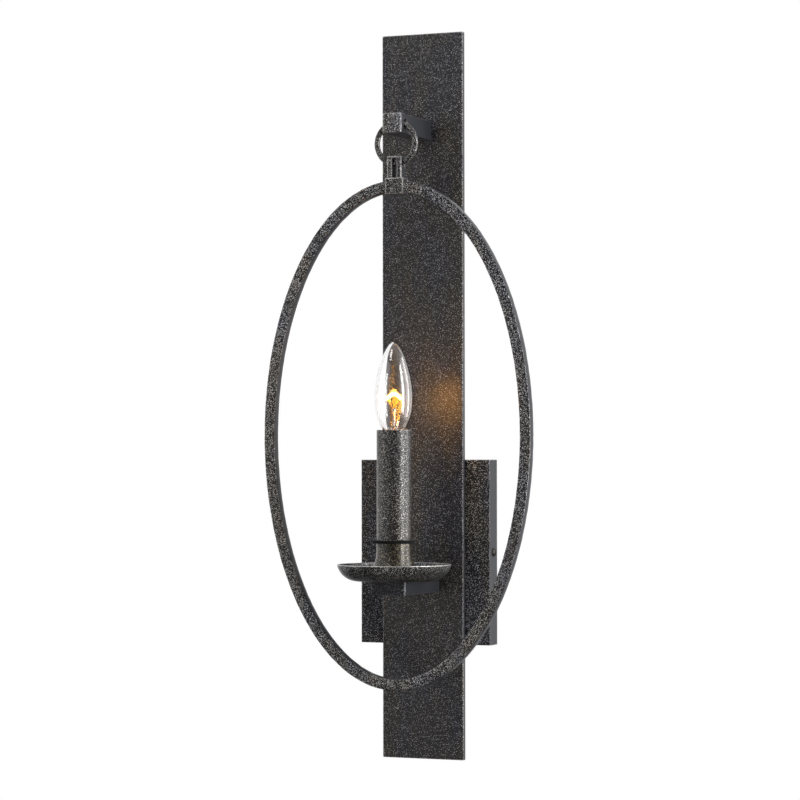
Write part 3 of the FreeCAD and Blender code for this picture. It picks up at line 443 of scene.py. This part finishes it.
clear_selection()
bpy.ops.curve.primitive_bezier_circle_add(radius=1, location=hoop_middle, rotation=(math.pi / 2, 0, 0))
hoop = bpy.context.object
hoop.scale = ((hoop_size.x - BAR_WIDE) / 2, (hoop_size.z - BAR_WIDE) / 2, 1)
bpy.ops.object.transform_apply(location=False, rotation=False, scale=True)
for point in hoop.data.splines[0].bezier_points:
    point.radius = 1
hoop.data.twist_mode = "Z_UP"
hoop.data.bevel_mode = "OBJECT"
hoop.data.bevel_object = section
hoop.data.resolution_u = HOOP_STEPS
bpy.ops.object.convert(target="MESH")
hoop = bpy.context.object
bpy.data.objects.remove(section)
faces_outwards(JOIN)
dents = bpy.data.textures.new("hammer_dents", "CLOUDS")
dents.noise_scale = DENT_WIDTH
dents.noise_depth = 1
apply_modifier(hoop, "DISPLACE", texture=dents, texture_coords="LOCAL", strength=DENT_DEPTH,
               mid_level=DENT_INWARDS)
finished(hoop, "forged_hoop", "hoop", "hoop_iron", "hoop")

# %% [markdown]
# ## The washer under the sleeve
# Between the cup and the sleeve lies a thin washer of spring steel, wider than both. Under its rim it
# narrows like a shallow funnel towards the top of the cup. The washer is painted matt black, and the funnel
# is a dark sheet of painted shadow: together they stand in for the shade the washer throws on the cup. Its
# section is a closed loop and could be spun, but the rings grow as the bulb's do: out along the top, down at
# the rim and back in under it. The first and last rings are then bridged.

# %% Washer
# a radius, in mm
WASHER_HOLE = 5.3
# depths under the washer's top and radii, in mm
# the ring 2.7 mm down is the foot of the funnel, a dark sheet of painted shadow on the cup
WASHER_RINGS = ((0, 19.9), (0.35, 20.2), (0.7, 19.9), (2.7, 15.4), (1.2, 15.0), (1.2, WASHER_HOLE))
washer_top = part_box("seat_disc")[1].z
rings = [(washer_top - drop * MM, radius * MM, radius * MM) for drop, radius in WASHER_RINGS]
washer = grow([(washer_top, WASHER_HOLE * MM, WASHER_HOLE * MM), *rings], 96)
bpy.ops.mesh.select_all(action="DESELECT")
bpy.ops.mesh.select_non_manifold()
bpy.ops.mesh.bridge_edge_loops()
faces_outwards()
finished(washer, "turned_washer", "wall_parts", "arm_iron", "seat_disc")

# %% [markdown]
# ## Rubbed bronze paint
# Almost every piece that shows is mild steel with the same finish, a dark bronze powder coat that was
# sprinkled with silver and rubbed back. The ground is a semi-gloss skin that drifts from a warm brown to a
# cold blue-black in patches some 22 mm wide, drawn out along the bars by the rubbing. Silver flecks lie on
# it, a little raised, each as bright as it happened to be rubbed. Edges are rubbed harder. On some bars the
# faces that don't look forwards or backwards are painted a plain lighter grey without flecks: a painted
# sheen that stands in for the smooth grey the side lights give them. A photograph of the paint would be
# quickest and would fit one view only. A Voronoi pattern gives every fleck its own place and its own
# brightness on any piece, and a noise bends the flecks out of round. The Bevel node knows where the surface
# turns: it widens the flecks at the edges, and it also rounds the edge in the light. A fleck is bare metal,
# so the same mask drives the metallic share.

# %% The paint's sizes
# real flecks are 0.3 to 1 mm across, and the finest are drawn coarser, so that they show in the render
FLECK_SPACING = 0.85 * MM
FLECK_BEND = 0.7 * MM
FLECK_RISE = 0.12 * MM
# how far a fleck fades out beyond its rim and in from it, as shares of the spacing
FLECK_FADE = (-0.02, 0.03)
PATCH = 22 * MM
PATCH_DRAWN = 0.3
# the noise between these two values fades one ground colour into the other
WARM_TO_COLD = (0.38, 0.62)
DIMPLE = 2.5 * MM
WORN_EDGE = 0.9 * MM
# how well the rounded and the true direction of the surface agree, on a face and on an edge
FACE_TO_EDGE = (0.995, 0.9)
# painted sheen: faces that don't look forwards or backwards get this plain lighter grey, standing in for the
# side lights' smooth sheen
SIDE_SHEEN_GREY = "#2A2B2F"
# how squarely a face looks forwards or backwards before it stops getting the painted sheen of a side
SIDE_TO_FACE = (0.35, 0.6)


# %% The paint
def rubbed_paint(name, warm, cold, warm_silver, cold_silver, reach=0.28, dull=0.15, seed=0.0, edge_reach=0.3,
                 sheen_painted_sides=False, dimples=0.05, gloss=0.28, fleck_gloss=0.42, ior=1.5):
    """A painted steel. warm and cold are the ground's two colours, and the silvers the flecks' on each.
    reach is a fleck's half width as a share of the spacing, and edge_reach what an edge adds to it. dull is
    the brightness of the dullest fleck as a share of the brightest's. dimples is the depth of the skin's
    waves in mm. gloss and fleck_gloss are the roughness of the ground and of the flecks."""
    material = bpy.data.materials.new(name)
    material.use_nodes = True
    tree = material.node_tree
    tree.nodes.clear()
    at = add(tree, "ShaderNodeTexCoord").outputs["Object"]
    at = add(tree, "ShaderNodeVectorMath", {0: at, 1: (seed, seed, seed)}, operation="ADD").outputs[0]

    # the ground: two colours that drift into each other
    tall = add(tree, "ShaderNodeMapping", {"Vector": at, "Scale": (1.0, 1.0, PATCH_DRAWN)}).outputs[0]
    drift = add(tree, "ShaderNodeTexNoise", {"Vector": tall, "Scale": 1 / PATCH, "Detail": 2.0})
    patches = add(tree, "ShaderNodeMapRange", {"Value": drift.outputs["Fac"], "From Min": WARM_TO_COLD[0],
                                               "From Max": WARM_TO_COLD[1]}).outputs[0]
    ground = add(tree, "ShaderNodeMix", {"Factor": patches, 6: linear(warm), 7: linear(cold)},
                 data_type="RGBA").outputs[2]
    silver = add(tree, "ShaderNodeMix", {"Factor": patches, 6: linear(warm_silver), 7: linear(cold_silver)},
                 data_type="RGBA").outputs[2]

    # where the surface turns, and where a side gets the painted sheen of the side lights
    rounded = add(tree, "ShaderNodeBevel", {"Radius": WORN_EDGE}, samples=6).outputs["Normal"]
    flat = add(tree, "ShaderNodeNewGeometry").outputs["Normal"]
    turning = add(tree, "ShaderNodeVectorMath", {0: rounded, 1: flat}, operation="DOT_PRODUCT")
    edge = add(tree, "ShaderNodeMapRange", {"Value": turning.outputs["Value"], "From Min": FACE_TO_EDGE[0],
                                            "From Max": FACE_TO_EDGE[1]}).outputs[0]
    across = add(tree, "ShaderNodeSeparateXYZ", {"Vector": flat}).outputs["Y"]
    across = add(tree, "ShaderNodeMath", {0: across}, operation="ABSOLUTE").outputs[0]
    kept = add(tree, "ShaderNodeMapRange", {"Value": across, "From Min": SIDE_TO_FACE[0],
                                            "From Max": SIDE_TO_FACE[1],
                                            "To Min": 0.0 if sheen_painted_sides else 1.0}).outputs[0]
    # painted sheen: sides get the plain grey and, through kept, lose their flecks
    ground = add(tree, "ShaderNodeMix", {"Factor": kept, 6: linear(SIDE_SHEEN_GREY), 7: ground},
                 data_type="RGBA").outputs[2]

    # the flecks
    bend = add(tree, "ShaderNodeTexNoise", {"Vector": at, "Scale": 1 / FLECK_SPACING}).outputs["Color"]
    bend = add(tree, "ShaderNodeVectorMath", {0: bend, "Scale": FLECK_BEND}, operation="SCALE").outputs[0]
    bent = add(tree, "ShaderNodeVectorMath", {0: at, 1: bend}, operation="ADD").outputs[0]
    cells = add(tree, "ShaderNodeTexVoronoi", {"Vector": bent, "Scale": 1 / FLECK_SPACING})
    own = add(tree, "ShaderNodeSeparateColor", {"Color": cells.outputs["Color"]}).outputs["Red"]
    wide = add(tree, "ShaderNodeMath", {0: kept, 1: reach}, operation="MULTIPLY").outputs[0]
    wide = add(tree, "ShaderNodeMath", {0: edge, 1: edge_reach, 2: wide}, operation="MULTIPLY_ADD").outputs[0]
    inside = add(tree, "ShaderNodeMath", {0: wide, 1: cells.outputs["Distance"]},
                 operation="SUBTRACT").outputs[0]
    fleck = add(tree, "ShaderNodeMapRange", {"Value": inside, "From Min": FLECK_FADE[0],
                                             "From Max": FLECK_FADE[1]}).outputs[0]
    bright = add(tree, "ShaderNodeMapRange", {"Value": own, "To Min": dull, "To Max": 1.0}).outputs[0]
    bright = add(tree, "ShaderNodeMath", {0: bright, 1: edge}, operation="MAXIMUM").outputs[0]
    shine = add(tree, "ShaderNodeMath", {0: fleck, 1: bright}, operation="MULTIPLY").outputs[0]

    # the skin's waves, and the flecks that stand on it
    waves = add(tree, "ShaderNodeTexNoise", {"Vector": at, "Scale": 1 / DIMPLE, "Detail": 1.0}).outputs["Fac"]
    skin_bump = add(tree, "ShaderNodeBump", {"Strength": 1.0, "Distance": dimples * MM, "Height": waves,
                                             "Normal": rounded}).outputs["Normal"]
    bump = add(tree, "ShaderNodeBump", {"Strength": 1.0, "Distance": FLECK_RISE, "Height": fleck,
                                        "Normal": skin_bump}).outputs["Normal"]
    colour = add(tree, "ShaderNodeMix", {"Factor": shine, 6: ground, 7: silver},
                 data_type="RGBA").outputs[2]
    rough = add(tree, "ShaderNodeMapRange", {"Value": fleck, "To Min": gloss, "To Max": fleck_gloss})
    skin = add(tree, "ShaderNodeBsdfPrincipled", {
        "Base Color": colour, "Metallic": fleck, "Roughness": rough.outputs[0], "IOR": ior, "Normal": bump})
    add(tree, "ShaderNodeOutputMaterial", {"Surface": skin.outputs[0]})
    return material


# %% One paint for each kind of piece
finishes = {
    # flat bar: fine, sparse flecks and sides with a painted sheen, so the strip reads as a dark shimmering
    # field
    "strip_iron": rubbed_paint("rubbed_bronze_on_flat_bar", "#1B1613", "#111119", "#FFF8EC", "#F6F6FF", 0.25,
                               dull=0.05, sheen_painted_sides=True, gloss=0.36, fleck_gloss=0.6),
    # folded sheet: blacker, with bright crisp flecks and a hard-rubbed rim
    "canopy_iron": rubbed_paint("rubbed_bronze_on_sheet", "#120E0B", "#0A0A10", "#FFF6E8", "#EEEEFA", 0.3,
                                seed=0.31, sheen_painted_sides=True, edge_reach=0.6, ior=1.38),
    # forging: wide flecks nearly touch, which makes the hoop the lightest of the bars
    "hoop_iron": rubbed_paint("rubbed_bronze_on_forging", "#14110F", "#0D0D12", "#F8F2EA", "#F2F2FA", 0.38,
                              seed=0.73, sheen_painted_sides=True, edge_reach=0.5, ior=1.42),
    # small bar under the dish: few flecks, bright lines where its edges were rubbed, and a ground painted
    # darker than the strip's as painted shade from the dish above
    "arm_iron": rubbed_paint("rubbed_bronze_on_small_bar_painted_shade", "#110E0A", "#0B0C12", "#E8E0D4", "#DCDDE4", 0.22,
                             seed=0.17, sheen_painted_sides=True, edge_reach=0.7, ior=1.35),
    # spun dish: the blackest ground, under white flecks that catch the side lights on both lobes
    "dish_iron": rubbed_paint("rubbed_bronze_on_spun_dish", "#0A0908", "#07070A", "#FFFCF4", "#FAFCFF", 0.33,
                              dull=0.2, seed=0.44, edge_reach=0.5),
    # spun cup: a golden brown, the warmest piece
    "cup_bronze": rubbed_paint("rubbed_bronze_on_spun_cup", "#1A140E", "#110E0B", "#F4E4BE", "#E6D8BC", 0.29,
                               seed=0.52, edge_reach=0.1),
    # tube: a silky sleeve whose long highlights break up into grains
    "sleeve_bronze": rubbed_paint("rubbed_bronze_on_tube", "#17130F", "#0F0E12", "#FFF6EA", "#FAF4F0", 0.3,
                                  seed=0.91, gloss=0.32),
}
# small forging: duller flecks inside bright edges
forging = rubbed_paint("rubbed_bronze_on_small_forging", "#14110F", "#0D0D12", "#F0EAE2", "#E8E8EE", 0.34,
                       seed=0.83, sheen_painted_sides=True, edge_reach=0.7, ior=1.42)
# pieces whose finish differs from the rest of their slot
own_finish = {
    # square bar: the widest and brightest flecks, on its front end only; its other faces get the painted
    # sheen of a side
    "upper_bracket": rubbed_paint("rubbed_bronze_on_square_bar", "#24201B", "#1B1C22", "#F6EFE2", "#ECECF2",
                                  0.4, seed=0.62, sheen_painted_sides=True),
    # round rod: flecks all the way round
    "hanging_ring": rubbed_paint("rubbed_bronze_on_round_rod", "#14110F", "#0D0D12", "#F8F2EA", "#F2F2FA",
                                 0.37, seed=0.37, ior=1.42),
    "hanger_link": forging,
    "hoop_collar": forging,
}
print("paint for", ", ".join(finishes), "and for", ", ".join(own_finish))

# %% [markdown]
# ## The plain metals and plastics
# Behind the canopy and inside the candle are the bought parts: zinc-plated steel, brass, and screws that
# were blackened so that they don't show on the canopy's sides. Zinc plate is a bright, slightly cloudy
# grey, brass a warm yellow with a thin tarnish, and black oxide a deep grey with oil in it. The washer is
# painted a matt black that takes almost no light, as painted shadow under its rim. Sockets, connectors and
# wire covers are moulded or drawn plastics, smooth, with a satin sheen. Each could be one flat colour. A
# fine noise in colour and roughness is what makes real metal look handled, and plastic moulded.

# %% Metals and plastics
def plain_finish(name, first, second, metallic, smooth, rough, drift, lift):
    """Two colours and two roughnesses that drift into each other over drift mm, on waves lift mm deep."""
    material = bpy.data.materials.new(name)
    material.use_nodes = True
    tree = material.node_tree
    tree.nodes.clear()
    at = add(tree, "ShaderNodeTexCoord").outputs["Object"]
    cloud = add(tree, "ShaderNodeTexNoise", {"Vector": at, "Scale": 1 / (drift * MM), "Detail": 4.0})
    cloud = cloud.outputs["Fac"]
    share = add(tree, "ShaderNodeMapRange", {"Value": cloud, "From Min": 0.35, "From Max": 0.65}).outputs[0]
    colour = add(tree, "ShaderNodeMix", {"Factor": share, 6: linear(first), 7: linear(second)},
                 data_type="RGBA").outputs[2]
    sheen = add(tree, "ShaderNodeMapRange", {"Value": share, "To Min": smooth, "To Max": rough})
    bump = add(tree, "ShaderNodeBump", {"Strength": 1.0, "Distance": lift * MM, "Height": cloud})
    skin = add(tree, "ShaderNodeBsdfPrincipled", {
        "Base Color": colour, "Metallic": metallic, "Roughness": sheen.outputs[0],
        "Normal": bump.outputs["Normal"]})
    add(tree, "ShaderNodeOutputMaterial", {"Surface": skin.outputs[0]})
    return material


# zinc shows bright and cloudy, black oxide deep grey, brass warm, and the plastics smooth and satin
finishes.update({
    "plain_steel": plain_finish("zinc_plated_steel", "#A9ABAE", "#8F9398", 1.0, 0.28, 0.45, 6, 0.05),
    "dark_screw": plain_finish("black_oxide_steel", "#2E2C2A", "#3B3936", 0.8, 0.35, 0.5, 2, 0.03),
    "plain_brass": plain_finish("tarnished_brass", "#C7A55A", "#A88743", 1.0, 0.22, 0.4, 5, 0.03),
    "socket_plastic": plain_finish("moulded_phenolic", "#1C1A19", "#242120", 0.0, 0.4, 0.55, 3, 0.02),
    "bushing_plastic": plain_finish("moulded_nylon", "#22211F", "#2A2927", 0.0, 0.45, 0.6, 2, 0.02),
    "connector_plastic": plain_finish("moulded_polypropylene", "#C9601E", "#BC5618", 0.0, 0.4, 0.55, 3, 0.02),
    "wire_black": plain_finish("black_pvc_insulation", "#1D1C1C", "#252424", 0.0, 0.4, 0.55, 4, 0.02),
    "wire_white": plain_finish("white_pvc_insulation", "#DAD8D2", "#CFCCC4", 0.0, 0.4, 0.55, 4, 0.02),
    "wire_green": plain_finish("green_pvc_insulation", "#2C7A43", "#276E3C", 0.0, 0.4, 0.55, 4, 0.02),
    "bulb_insulator_glass": plain_finish("black_base_glass", "#121115", "#1B191F", 0.0, 0.12, 0.25, 2, 0.02),
})

# painted shadow: a matt black skin, so that the washer and the funnel under it read as the washer's shadow on
# the cup
own_finish["turned_washer"] = plain_finish("washer_black_painted_shadow", "#090808", "#0D0C0C", 0.0, 0.75, 0.9,
                                           2, 0.02)
print("finishes for", len(finishes), "slots")

# %% [markdown]
# ## Clear glass and the lit filament
# The bulb is clear soda-lime glass, which bends light with an index of about 1.52. Blown glass is never quite
# even: faint waves run round it, and a thin haze lies on it, which a weak rough coat gives. A lamp inside
# closed glass would light nothing, because shadow rays stop at glass, so the glass lets shadow rays through.
# The filament is tungsten at about 2,700 K: near white where the camera looks at it, while the light
# that it throws on the bar behind it is orange. So the coil glows by itself, and a small lamp in its arch
# lights the bar. The lamp is hidden from the camera and from rays through glass, or it would show as a ball.

# %% Glass
WAVE = 3.5 * MM
WAVE_DEPTH = 0.12 * MM
# the waves are four times as long round the bulb as along it
WAVE_STRETCH = (0.25, 0.25, 1.0)


def clear_glass(name):
    """Glass that bends what the camera sees and lets shadow rays through: bright rims and a dark middle."""
    material = bpy.data.materials.new(name)
    material.use_nodes = True
    tree = material.node_tree
    tree.nodes.clear()
    at = add(tree, "ShaderNodeTexCoord").outputs["Object"]
    level = add(tree, "ShaderNodeMapping", {"Vector": at, "Scale": WAVE_STRETCH}).outputs[0]
    waves = add(tree, "ShaderNodeTexNoise", {"Vector": level, "Scale": 1 / WAVE, "Detail": 1.0})
    bump = add(tree, "ShaderNodeBump", {"Strength": 1.0, "Distance": WAVE_DEPTH,
                                        "Height": waves.outputs["Fac"]})
    solid = add(tree, "ShaderNodeBsdfPrincipled", {
        "Base Color": WHITE, "Roughness": 0.0, "IOR": 1.52, "Transmission Weight": 1.0,
        "Coat Weight": 0.15, "Coat Roughness": 0.2,
        "Normal": bump.outputs["Normal"]})
    through = add(tree, "ShaderNodeBsdfTransparent")
    shadow = add(tree, "ShaderNodeLightPath").outputs["Is Shadow Ray"]
    mixed = add(tree, "ShaderNodeMixShader", {0: shadow, 1: solid.outputs[0], 2: through.outputs[0]})
    add(tree, "ShaderNodeOutputMaterial", {"Surface": mixed.outputs[0]})
    return material


STREAK = 0.6 * MM


def glowing_wire(name, metal, glow, strength):
    """Drawn wire with streaks along its skin, which glows by itself."""
    material = bpy.data.materials.new(name)
    material.use_nodes = True
    tree = material.node_tree
    tree.nodes.clear()
    at = add(tree, "ShaderNodeTexCoord").outputs["Object"]
    streaks = add(tree, "ShaderNodeTexNoise", {"Vector": at, "Scale": 1 / STREAK}).outputs["Fac"]
    rough = add(tree, "ShaderNodeMapRange", {"Value": streaks, "To Min": 0.25, "To Max": 0.45})
    skin = add(tree, "ShaderNodeBsdfPrincipled", {
        "Base Color": linear(metal), "Metallic": 1.0, "Roughness": rough.outputs[0],
        "Emission Color": linear(glow), "Emission Strength": strength})
    add(tree, "ShaderNodeOutputMaterial", {"Surface": skin.outputs[0]})
    return material


finishes["bulb_clear_glass"] = clear_glass("soda_lime_glass")
# painted glow: the nickel leads get a warm colour and a faint orange emission for the filament's light on
# them, and the tungsten is so hot that it burns out to white
finishes["filament_gold"] = glowing_wire("nickel_leads_painted_glow", "#6E5326", "#FFB765", 0.02)
own_finish["tungsten_coil"] = glowing_wire("hot_tungsten", "#8A8580", "#FFB04A", 80.0)
print("finishes for", len(finishes), "slots, and", len(own_finish), "pieces with their own")

# %% [markdown]
# ## Every piece gets its finish
# The record says which slot each piece of the frame takes, and a new piece carries its slot with it. A few
# pieces share a slot in the record and differ in the photograph, so they're named with a finish of their own.

# %% Every piece gets its finish
slots = {row["node"]: row["material_slot"] for row in frame["record"]["subparts"]}
dressed = [(nodes[name], name, slot) for name, slot in slots.items()]
dressed += [(piece, piece.name, piece["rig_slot"]) for piece in bpy.context.scene.objects
            if piece.get("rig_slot")]
for piece, name, slot in dressed:
    piece.data.materials.clear()
    piece.data.materials.append(own_finish.get(name, finishes[slot]))
print("finished", len(slots), "pieces of the frame and", len(dressed) - len(slots), "new ones")

# %% Filament light
# the lamp's place from the candle's axis and from the filament's foot
GLOW_LEFT = 4 * MM
GLOW_UNDER = 1 * MM
GLOW_RADIUS = 5 * MM
GLOW_POWER = 0.082
glow_light = bpy.data.lights.new("filament_light", "POINT")
glow_light.energy = GLOW_POWER
glow_light.color = linear("#FFAA14")[:3]
glow_light.shadow_soft_size = GLOW_RADIUS
glow = bpy.data.objects.new("filament_light", glow_light)
glow.location = (candle.x - GLOW_LEFT, candle.y, filament_height - GLOW_UNDER)
glow.visible_camera = False
glow.visible_transmission = False
bpy.context.scene.collection.objects.link(glow)
print("filament light", GLOW_POWER, "W")

# %% Look settings
bpy.context.scene.view_settings.view_transform = "Standard"
print("colours render as they're written")

# %% Import json
import json
